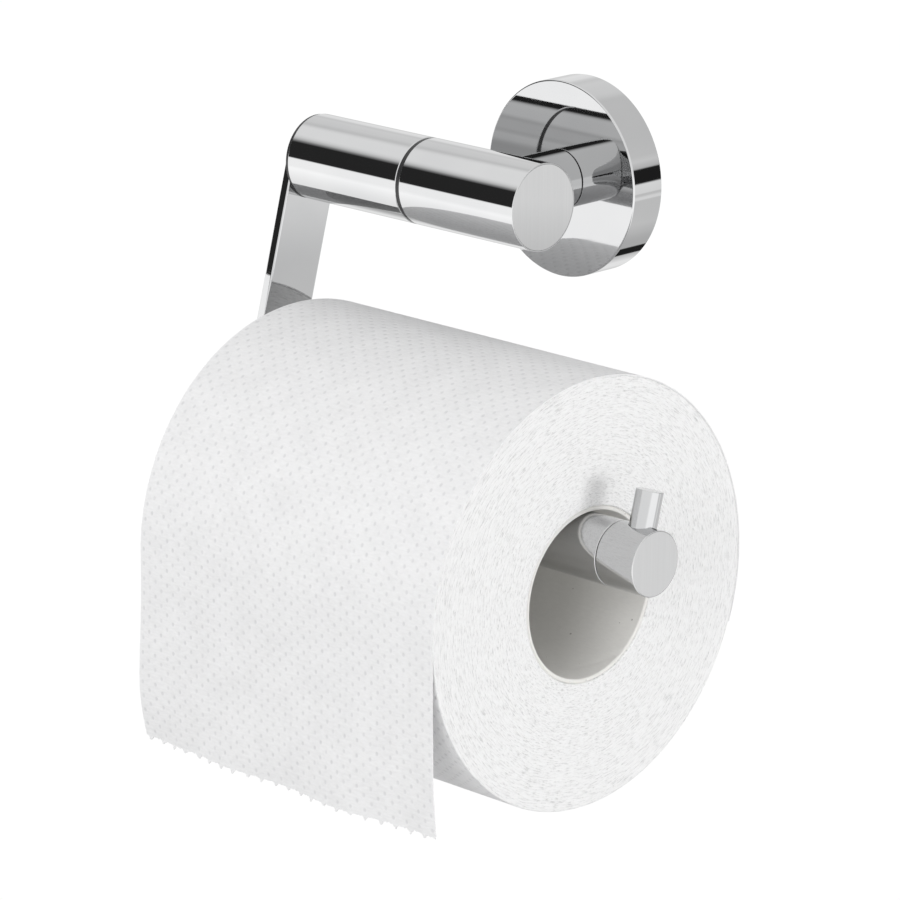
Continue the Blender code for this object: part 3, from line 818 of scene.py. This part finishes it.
# %% Fixed half and its end disc
RING_CHAMFER = 0.00022
TUBE_INNER = TUBE_RADIUS - 0.00205
CAP_RADIUS = TUBE_RADIUS - 0.00034
SEAT_RADIUS = CAP_RADIUS + 0.00005
SEAT_DEPTH, CAP_THICKNESS = 0.0016, 0.0013
SPIGOT_RADIUS, SPIGOT_DEPTH = 0.0085, 0.0050  # the part of the disc that sits inside the tube
FINE_SUPPORT = 0.00002
tube_fixed_half = turned("tube_fixed_half", softened([
    (SEAT_RADIUS, TUBE_RIGHT, 0.00002),
    (TUBE_RADIUS, TUBE_RIGHT, 0.00016),
    (TUBE_RADIUS, FIXED_LEFT, RING_CHAMFER),
    (TUBE_INNER, FIXED_LEFT, 0.0001),
    (TUBE_INNER, TUBE_RIGHT - SEAT_DEPTH, 0),
    (SEAT_RADIUS, TUBE_RIGHT - SEAT_DEPTH, 0),
], closed=True, support=FINE_SUPPORT), ACROSS, TUBE_AXIS, [POLISHED], closed=True)
stands_for(tube_fixed_half, "fixed_tube")


def disc_faces(index, profile):
    """Material 0 on faces that look along the axis, 1 on the sides."""
    return 0 if abs(profile[(index + 1) % len(profile)][1] - profile[index][1]) < 1e-6 else 1


tube_end_disc = turned("tube_end_disc", softened([
    (0, TUBE_RIGHT, 0),
    (CAP_RADIUS, TUBE_RIGHT, 0.00006),
    (CAP_RADIUS, TUBE_RIGHT - CAP_THICKNESS, 0.0001),
    (SPIGOT_RADIUS, TUBE_RIGHT - CAP_THICKNESS, 0),
    (SPIGOT_RADIUS, TUBE_RIGHT - SPIGOT_DEPTH, EDGE),
    (0, TUBE_RIGHT - SPIGOT_DEPTH, 0),
], support=FINE_SUPPORT), ACROSS, TUBE_AXIS, [BRUSHED_FACE, POLISHED], face_material=disc_faces)
stands_for(tube_end_disc, "fixed_end_cap")


# %% Swivelling half and the black rings
FULLER = 0.00024  # how far a black ring reaches past its place at each end, into its neighbours


def sleeve(name, node, inner, material, axis_point, edge, inner_edge=0.0001, fuller=0.0):
    """A plain turned ring in the place of a CAD node, that much longer at each end."""
    low, high = box(node)
    outer, left, right = (high.z - low.z) / 2, low.x - fuller, high.x + fuller
    item = turned(name, softened([
        (inner, right, inner_edge), (outer, right, edge), (outer, left, edge), (inner, left, inner_edge),
    ], closed=True, support=0.00003), ACROSS, axis_point, [material], closed=True)
    stands_for(item, node)


sleeve("tube_swivel_half", "swivel_tube", TUBE_INNER, POLISHED, TUBE_AXIS, RING_CHAMFER)
sleeve("tube_black_ring", "centre_ring", 0.0051, BLACK, TUBE_AXIS, 0.0001, fuller=FULLER)
sleeve("arm_black_washer", "arm_washer", 0.0028, BLACK, TUBE_AXIS, 0.00008, 0.00005, fuller=FULLER)

# %% [markdown]
# ## The arm
#
# The arm is a flat bar with fully round ends, polished on its faces and edges. Its outline is two
# half circles. The edge is built as a stack of outlines, each a little smaller than the last, which
# gives an even rounding all the way round.

# %% Flat arm with rounded edges
low, high = box("arm")
ARM_LEFT, ARM_RIGHT = low.x, high.x
ARM_WIDTH = 0.0158
ARM_STEPS, EDGE_STEPS = 48, 5
SUPPORT = 0.00006  # from a rounding to the support line on the flat next to it
forward = ARM_UP.cross(ACROSS)


def stadium(radius, x):
    """Outline of the arm at the given half width, both round ends included."""
    points = []
    for centre, start in ((TUBE_AXIS, 0.0), (SPINDLE_AXIS, math.pi)):
        for step in range(ARM_STEPS + 1):
            angle = start + math.pi * step / ARM_STEPS
            points.append(centre + (forward * math.cos(angle) + ARM_UP * math.sin(angle)) * radius
                          + ACROSS * (x - centre.x))
    return points


# Each row of the edge: how far it is set in from the outline, and how far behind the face it lies.
edge_rows = [(EDGE + SUPPORT, 0.0)]
for step in range(EDGE_STEPS + 1):
    angle = math.pi / 2 * step / EDGE_STEPS
    edge_rows.append((EDGE * (1 - math.sin(angle)), EDGE * (1 - math.cos(angle))))
edge_rows.append((0.0, EDGE + SUPPORT))
outlines = [(inset, ARM_LEFT + depth) for inset, depth in edge_rows]
outlines += [(inset, ARM_RIGHT - depth) for inset, depth in reversed(edge_rows)]

work = bmesh.new()
loops = [[work.verts.new(point) for point in stadium(ARM_WIDTH / 2 - inset, x)] for inset, x in outlines]
for before, after in zip(loops, loops[1:]):
    for index in range(len(before)):
        following = (index + 1) % len(before)
        work.faces.new((before[index], before[following], after[following], after[index]))
work.faces.new(loops[0])
work.faces.new(loops[-1])
flat_arm = finished("flat_arm", work, [POLISHED])
stands_for(flat_arm, "arm")

# %% [markdown]
# ## The spindle, its end knob and the stop pin
#
# The spindle is a polished tube. Its tip is a solid knob, joined with a fine seam, and the pin
# stands in a hole in the knob, square to the spindle and in line with the arm. The knob's end face
# is brushed like the tube's end disc.

# %% Spindle
SPINDLE_WALL = 0.0015
low, high = box("spindle_tube")
SPINDLE_RADIUS = (high.z - low.z) / 2
sleeve("spindle", "spindle_tube", SPINDLE_RADIUS - SPINDLE_WALL, FINE_TURNED, SPINDLE_AXIS, EDGE / 2)

# %% End knob and stop pin
PIN_FOOT, PIN_TOP = 0.0032, 0.01645  # along the pin, from the spindle's axis
HOLE_MIDDLE, HOLE_DEPTH = 0.0089, 0.012
KNOB_EDGE = 0.00022
low, high = box("spindle_knob")
end_knob = turned("spindle_end_knob", softened([
    (0, high.x, 0),
    (SPINDLE_RADIUS, high.x, KNOB_EDGE),
    (SPINDLE_RADIUS, low.x, EDGE / 2),
    (0, low.x, 0),
]), ACROSS, SPINDLE_AXIS, [BRUSHED_FACE, FINE_TURNED], face_material=disc_faces)

low, high = box("stop_pin")
PIN_RADIUS = (high.x - low.x) / 2
pin_axis = SPINDLE_AXIS + ACROSS * (low.x + high.x) / 2
bored(end_knob, PIN_RADIUS + HOLE_GAP, pin_axis + ARM_UP * HOLE_MIDDLE, ARM_UP, HOLE_DEPTH, sides=96)
end_knob.data.set_sharp_from_angle(angle=math.radians(SHARP_ANGLE))
stands_for(end_knob, "spindle_knob")

stop_pin = turned("roll_stop_pin", softened([
    (0, PIN_TOP, 0), (PIN_RADIUS, PIN_TOP, EDGE * 0.35), (PIN_RADIUS, PIN_FOOT, EDGE / 2),
    (0, PIN_FOOT, 0),
]), ARM_UP, pin_axis, [POLISHED], segments=96)
stands_for(stop_pin, "stop_pin")

# %% [markdown]
# ## The core
#
# A roll's core is two strips of board wound in a spiral and glued. Where the edge of the inner
# strip meets itself there is a shallow groove, which climbs round the inside of the tube.

# %% Cardboard core with its spiral groove
low, high = box("roll_core")
CORE_LEFT, CORE_RIGHT = low.x, high.x
CORE_OUTER, CORE_INNER = (high.z - low.z) / 2, 0.02055
CORE_EDGE = 0.0003
CORE_ROWS = 110
SPIRAL_PITCH = 0.088
GROOVE_WIDTH, GROOVE_DEPTH, WAVINESS = 0.0007, 0.00028, 0.00010


def spiral_groove(radius, along, angle):
    """Sink the groove into the inner face, and let that face wave a little."""
    if radius > CORE_INNER + CORE_EDGE:
        return radius, along
    turns = along / SPIRAL_PITCH - angle / (2 * math.pi)
    distance = abs(turns - round(turns)) * SPIRAL_PITCH
    groove = max(0.0, 1.0 - distance / GROOVE_WIDTH) * GROOVE_DEPTH
    wave = noise.noise(Vector((along * 60, math.cos(angle) * 1.5, math.sin(angle) * 1.5))) * WAVINESS
    return radius + groove + max(0.0, wave), along


inner_length = CORE_RIGHT - CORE_LEFT - 2 * CORE_EDGE
core_profile = [(CORE_INNER, CORE_LEFT + CORE_EDGE + inner_length * row / CORE_ROWS)
                for row in range(CORE_ROWS + 1)]
core_profile += [(CORE_INNER + CORE_EDGE / 2, CORE_RIGHT - CORE_EDGE / 6),
                 (CORE_INNER + CORE_EDGE, CORE_RIGHT), (CORE_OUTER - CORE_EDGE, CORE_RIGHT),
                 (CORE_OUTER, CORE_RIGHT - CORE_EDGE), (CORE_OUTER, CORE_LEFT + CORE_EDGE),
                 (CORE_OUTER - CORE_EDGE, CORE_LEFT), (CORE_INNER + CORE_EDGE, CORE_LEFT)]
cardboard_core = turned("cardboard_core", core_profile, ACROSS, ROLL_AXIS, [BOARD], closed=True,
                        shape=spiral_groove)
stands_for(cardboard_core, "roll_core")

# %% [markdown]
# ## The wound paper
#
# Hundreds of windings can't each be a surface, but the cut ends can show them. The end faces have
# many rings of points. Each ring stands a little further out or in than its neighbours, and noise
# drawn out round the axis makes single windings rise and sink, as crushed paper edges do.

# %% Wound paper with uneven ends
low, high = box("paper_roll")
ROLL_LEFT, ROLL_RIGHT = low.x, high.x
SHEET_THICKNESS = 0.0003
SHEET_RADIUS = box("paper_sheet")[1].z - ROLL_AXIS.z
WOUND_RADIUS = SHEET_RADIUS - SHEET_THICKNESS + 0.00003  # just into the outermost turn
WOUND_INNER = CORE_OUTER + 0.00006
WORN, HALF_WORN = 0.0004, 0.00012  # how far the rims of a cut end are worn back, in two steps
RELIEF = 0.00014
FACE_ROWS = 104


def crushed(radius, along, angle):
    """Push an end face's points in and out, less towards its rims."""
    if ROLL_LEFT + WORN < along < ROLL_RIGHT - WORN:
        return radius, along
    side = 1 if along > 0 else -1
    ring = noise.noise(Vector((radius * 3100, 7.3 * side, 0.0)))
    streak = noise.noise(Vector((math.cos(angle) * 9, math.sin(angle) * 9, radius * 2300 + side)))
    broad = noise.noise(Vector((math.cos(angle) * 1.3, math.sin(angle) * 1.3, radius * 110 + side)))
    rim = min(1.0, (WOUND_RADIUS - radius) / 0.0012, (radius - WOUND_INNER) / 0.0006)
    sink = (0.5 + 0.30 * ring + 0.42 * streak + 0.55 * broad) * RELIEF * max(0.0, rim)
    return radius, along - side * max(0.0, sink)


def winding_faces(index, profile):
    """Material 1 on the long face round the outside, 0 on the cut ends and in the bore."""
    (r0, a0), (r1, a1) = profile[index], profile[(index + 1) % len(profile)]
    return 1 if abs(a1 - a0) > 0.01 and min(r0, r1) > WOUND_INNER + 0.001 else 0


face_width = WOUND_RADIUS - WOUND_INNER - 2 * WORN
cut_end = [(WOUND_INNER, WORN), (WOUND_INNER + HALF_WORN, HALF_WORN)]
cut_end += [(WOUND_INNER + WORN + face_width * row / FACE_ROWS, 0.0) for row in range(FACE_ROWS + 1)]
cut_end += [(WOUND_RADIUS - HALF_WORN, HALF_WORN), (WOUND_RADIUS, WORN)]
wound_profile = [(radius, ROLL_RIGHT - inset) for radius, inset in cut_end]
wound_profile += [(radius, ROLL_LEFT + inset) for radius, inset in reversed(cut_end)]
wound_paper = turned("wound_paper", wound_profile, ACROSS, ROLL_AXIS, [WOUND, UNDER_WINDING],
                     closed=True, segments=200, shape=crushed, face_material=winding_faces)
stands_for(wound_paper, "paper_roll")

# %% [markdown]
# ## The outermost turn and the hanging end
#
# The last turn of paper goes over the top of the roll and hangs down in front. It is embossed with
# about three thousand dots, and its end is torn off along a perforation. All of that follows rules,
# so Geometry Nodes make it. A small tile with two dimples is copied over a grid, the copies are
# merged into one flat sheet, a torn strip is added at the end, and the flat sheet is then laid along
# a path that runs over the roll and down.

# %% The path that the paper follows
SHEET_START = math.radians(-20)  # on the wall side of the roll's top
ARC_STEPS, DROP_STEPS = 240, 60
SPARE_PATH = 0.004  # the path runs on past the sheet, for the torn strip

arc_length = SHEET_RADIUS * (math.pi - SHEET_START)
drop = ROLL_AXIS.z - box("paper_sheet")[0].z
SHEET_LENGTH = arc_length + drop
SHEET_WIDTH = ROLL_RIGHT - ROLL_LEFT
SHEET_MIDDLE = (ROLL_RIGHT + ROLL_LEFT) / 2

path_points = []
for step in range(ARC_STEPS + 1):
    angle = SHEET_START + (math.pi - SHEET_START) * step / ARC_STEPS
    path_points.append(ROLL_AXIS + Vector((0, math.cos(angle), math.sin(angle))) * SHEET_RADIUS)
path_points += [path_points[ARC_STEPS] - UP * (drop + SPARE_PATH) * step / DROP_STEPS
                for step in range(1, DROP_STEPS + 1)]
path_curve = bpy.data.curves.new("paper_path", "CURVE")
path_curve.dimensions = "3D"
line = path_curve.splines.new("POLY")
line.points.add(len(path_points) - 1)
for point, place in zip(line.points, path_points):
    point.co = (*place, 1.0)
paper_path = placed("paper_path", path_curve)
print("paper:", round(SHEET_WIDTH * 1000, 1), "by", round(SHEET_LENGTH * 1000, 1), "mm")

# %% [markdown]
# The tile is two rows high and one repeat wide. Two of its four quarters hold a dimple, so that the
# rows come out staggered. A dimple is a ring of eight points with one pressed-in point.

# %% The dimpled tile
TILE_COLUMNS = round(SHEET_WIDTH / DOTS_ACROSS)
TILE_ROWS = round(SHEET_LENGTH / DOTS_ROUND)
DOT_STRETCH = 1.2  # dots are a little longer along the web than across it
TORN_LENGTH = 0.0006  # average length of the torn strip past the last full row

tile_width = SHEET_WIDTH / TILE_COLUMNS
tile_length = (SHEET_LENGTH - TORN_LENGTH) / TILE_ROWS


def dimpled_tile():
    work = bmesh.new()
    depth = work.verts.layers.float.new(DIMPLE)
    grid = {(i, j): work.verts.new(((i - 1) * tile_width / 2, (j - 1) * tile_length / 2, 0))
            for i in range(3) for j in range(3)}
    for i in range(2):
        for j in range(2):
            square = [grid[i, j], grid[i + 1, j], grid[i + 1, j + 1], grid[i, j + 1]]
            if i != j:
                work.faces.new(square)
                continue
            x, y = (i - 0.5) * tile_width / 2, (j - 0.5) * tile_length / 2
            ring = []
            for step in range(8):
                angle = math.pi * (step / 4 - 0.875)
                ring.append(work.verts.new((x + DOT_RADIUS * math.cos(angle),
                                            y + DOT_RADIUS * DOT_STRETCH * math.sin(angle), 0)))
            pit = work.verts.new((x, y, -DOT_DEPTH))
            pit[depth] = 1.0
            for step in range(8):
                work.faces.new((ring[step], ring[(step + 1) % 8], pit))
            for side in range(4):
                first, second = ring[2 * side], ring[(2 * side + 1) % 8]
                work.faces.new((square[side], second, first))
                work.faces.new((square[side], square[(side + 1) % 4], ring[(2 * side + 2) % 8], second))
    bmesh.ops.recalc_face_normals(work, faces=work.faces)
    return mesh_from("hanging_paper", work)


hanging_paper = placed("hanging_paper", dimpled_tile())
print("tile faces:", len(hanging_paper.data.polygons))

# %% [markdown]
# The tree has named inputs, so that a sheet of another size only needs other numbers. It starts
# with a grid of points, one for each tile.

# %% The tree that lays the sheet
INPUTS = {
    "Geometry": ("Tile",), "Object": ("Path",), "Int": ("Columns", "Rows"), "Material": ("Finish",),
    "Float": ("Width", "Length", "Middle", "Torn", "Nub Pitch", "Free From", "Wave Height", "Curl",
              "Seed"),
}
paper_tree = bpy.data.node_groups.new("laid_paper", "GeometryNodeTree")
paper_tree.interface.new_socket("Geometry", in_out="OUTPUT", socket_type="NodeSocketGeometry")
for kind, labels in INPUTS.items():
    for label in labels:
        paper_tree.interface.new_socket(label, in_out="INPUT", socket_type="NodeSocket" + kind)
given = paper_tree.nodes.new("NodeGroupInput").outputs
place = add(paper_tree, "GeometryNodeInputPosition").outputs[0]
x, y, z = list(axes_of(place))[:3]  # of whichever mesh a node is asked about


def geometry(kind, settings=None, **inputs):
    """Add a node and give its geometry."""
    return add(paper_tree, "GeometryNode" + kind, settings, **inputs).outputs[0]


# Flat sheet of tiles, with y running from the start of the paper to its torn end.
full = maths("SUBTRACT", given["Length"], given["Torn"])
tile_x = maths("DIVIDE", given["Width"], given["Columns"])
tile_y = maths("DIVIDE", full, given["Rows"])
grid = geometry("MeshGrid", Size_X=maths("SUBTRACT", given["Width"], tile_x),
                Size_Y=maths("SUBTRACT", full, tile_y), Vertices_X=given["Columns"],
                Vertices_Y=given["Rows"])
copies = geometry("InstanceOnPoints", Points=grid, Instance=given["Tile"])
flat = geometry("SetPosition", Geometry=geometry("RealizeInstances", Geometry=copies),
                Offset=xyz(Y=maths("MULTIPLY", full, 0.5)))
print("flat sheet:", TILE_COLUMNS, "by", TILE_ROWS, "tiles")


# %% [markdown]
# The torn strip is a row of narrow columns. Their lengths follow the nubs of paper between the
# perforation's cuts, and fine noise makes the fibres stand out unevenly.

# %% The torn strip
STRIP_COLUMNS = 288
NUB_WIDTH, NUB_LENGTH, FIBRE_LENGTH, UNEVEN_LENGTH = 0.17, 0.0012, 0.0010, 0.0005


def edge_noise(scale, detail):
    """Noise that changes only along the torn edge."""
    return add(paper_tree, "ShaderNodeTexNoise", {"noise_dimensions": "2D"}, Scale=scale,
               Detail=detail, Vector=xyz(X=x, Y=given["Seed"])).outputs["Fac"]


jitter, ragged = edge_noise(150.0, 1.0), edge_noise(1300.0, 2.0)
turns = maths("ADD", maths("DIVIDE", x, given["Nub Pitch"]), maths("MULTIPLY", jitter, 0.5))
from_nub = maths("ABSOLUTE", maths("SUBTRACT", maths("SUBTRACT", turns, maths("FLOOR", turns)), 0.5))
tooth = maths("MAXIMUM", 0.0, maths("SUBTRACT", 1.0, maths("DIVIDE", from_nub, NUB_WIDTH)))
tooth = maths("MULTIPLY", tooth, maths("ADD", 0.35, maths("MULTIPLY", ragged, 1.1)))
tear = maths("ADD", maths("MULTIPLY", tooth, NUB_LENGTH), maths("MULTIPLY", ragged, FIBRE_LENGTH))
tear = maths("ADD", tear, maths("MULTIPLY", jitter, UNEVEN_LENGTH))
down = maths("ADD", full, maths("MULTIPLY", maths("ADD", y, 0.5), tear))
strip = geometry("MeshGrid", Size_X=given["Width"], Size_Y=1.0, Vertices_X=STRIP_COLUMNS + 1,
                 Vertices_Y=4)
torn = geometry("SetPosition", Geometry=strip, Position=xyz(X=x, Y=down))

joined = add(paper_tree, "GeometryNodeJoinGeometry")
put(joined, 0, torn)
put(joined, 0, flat)
merged = geometry("MergeByDistance", Geometry=joined.outputs[0], Distance=0.00002)
marked = geometry("StoreNamedAttribute", {"data_type": "FLOAT2", "domain": "CORNER"},
                  Geometry=merged, Name=SURFACE, Value=place)
print("torn strip:", STRIP_COLUMNS, "columns")

# %% [markdown]
# Last, the flat sheet is laid along the path. Its y becomes the length along the path, its x runs
# across, and its z stands off the surface. Waves across the sheet grow towards its free end, where
# nothing holds the paper flat, and the left corner curls.

# %% Laid along the path
FREE_LENGTH, CURL_LENGTH = 0.045, 0.016  # over which the waves grow, and over which the end curls
WIDER = 0.006  # how much wider the sheet gets at its free end

path_shape = add(paper_tree, "GeometryNodeObjectInfo", Object=given["Path"]).outputs["Geometry"]
on_path = add(paper_tree, "GeometryNodeSampleCurve", {"mode": "LENGTH"}, Curves=path_shape,
              Length=y).outputs
outward = vector_maths("CROSS_PRODUCT", on_path["Tangent"], (1.0, 0.0, 0.0))
free = mapped(maths("SUBTRACT", y, given["Free From"]), 0.0, FREE_LENGTH, 0.0, 1.0)
free = maths("POWER", free, 1.7)
slanted = xyz(X=maths("ADD", x, maths("MULTIPLY", y, 0.55)), Y=maths("MULTIPLY", y, 0.35),
              Z=given["Seed"])
wave = add(paper_tree, "ShaderNodeTexNoise", Vector=slanted, Scale=34.0, Detail=1.0).outputs["Fac"]
ripple = maths("MULTIPLY", maths("SUBTRACT", 0.52, wave), maths("MULTIPLY", free, given["Wave Height"]))
to_end = maths("SUBTRACT", given["Length"], y)
near_end = mapped(to_end, CURL_LENGTH, 0.0, 0.0, 1.0)
to_left = mapped(maths("DIVIDE", x, given["Width"]), 0.5, -0.5, 0.0, 1.0)
curl = maths("MULTIPLY", maths("MULTIPLY", maths("POWER", near_end, 2.0), given["Curl"]),
         maths("ADD", 0.4, maths("POWER", to_left, 2.0)))
stand = maths("SUBTRACT", maths("ADD", z, ripple), curl)
spread = maths("MULTIPLY", x, maths("ADD", 1.0, maths("MULTIPLY", maths("POWER", free, 2.0), WIDER)))
sideways = xyz(X=maths("ADD", spread, given["Middle"]))
laid_at = vector_maths("ADD", vector_maths("ADD", on_path["Position"], sideways),
                       vector_maths("SCALE", outward, stand))
facing = geometry("FlipFaces", Mesh=geometry("SetPosition", Geometry=marked, Position=laid_at))
coated = geometry("SetMaterial", Geometry=facing, Material=given["Finish"])
paper_tree.links.new(coated, paper_tree.nodes.new("NodeGroupOutput").inputs[0])
print("nodes in the paper's tree:", len(paper_tree.nodes))


# %% [markdown]
# A modifier's inputs are found by their names and set by their identifiers. Solidify then gives the
# sheet its thickness, and the result is kept as a plain mesh.

# %% Run the tree and keep a plain mesh
PAPER_SHARP_ANGLE = 50  # keeps the dimples soft and the paper's edges crisp


def give(modifier, group, **values):
    """Set a modifier's inputs, found by name and set by identifier."""
    keys = {item.name: item.identifier for item in group.interface.items_tree
            if item.item_type == "SOCKET" and item.in_out == "INPUT"}
    for label, value in values.items():
        modifier[keys[label.replace("_", " ")]] = value


laying = hanging_paper.modifiers.new("laid_paper", "NODES")
laying.node_group = paper_tree
give(laying, paper_tree, Path=paper_path, Width=SHEET_WIDTH, Length=SHEET_LENGTH,
     Middle=SHEET_MIDDLE, Columns=TILE_COLUMNS, Rows=TILE_ROWS, Torn=TORN_LENGTH, Nub_Pitch=0.0045,
     Free_From=arc_length + 0.004, Wave_Height=0.011, Curl=0.0016, Seed=3.7, Finish=EMBOSSED)
ply = hanging_paper.modifiers.new("paper_thickness", "SOLIDIFY")
ply.thickness, ply.offset = SHEET_THICKNESS, -1.0
plain_mesh(hanging_paper)
hanging_paper.data.shade_smooth()
hanging_paper.data.set_sharp_from_angle(angle=math.radians(PAPER_SHARP_ANGLE))
bpy.data.objects.remove(paper_path, do_unlink=True)
stands_for(hanging_paper, "paper_sheet")

# %% [markdown]
# ## The parts that stay as they are
#
# The mechanism inside keeps its CAD shape and gets the finish of its material slot. Three of these
# parts can be seen from the wall side or from below: the bracket, the bolt and the set screw. Their
# triangles are merged in a copy, so that the round surfaces shade smoothly.

# %% Merged copies of the parts that show from behind
for node, name in (("wall_bracket", "bracket_plate"), ("post_bolt", "socket_bolt"),
                   ("rosette_set_screw", "grub_screw")):
    work = bmesh.new()
    work.from_mesh(frame["nodes"][node].data)
    bmesh.ops.remove_doubles(work, verts=work.verts, dist=0.00001)
    work.loops.layers.uv.new(SURFACE)
    stands_for(finished(name, work, [SLOT_FINISH[SLOT_OF[node]]]), node)

# %% Finishes for the parts inside
for name, item in frame["nodes"].items():
    item.data.materials.clear()
    item.data.materials.append(SLOT_FINISH[SLOT_OF[name]])
print("finished nodes:", len(frame["nodes"]))
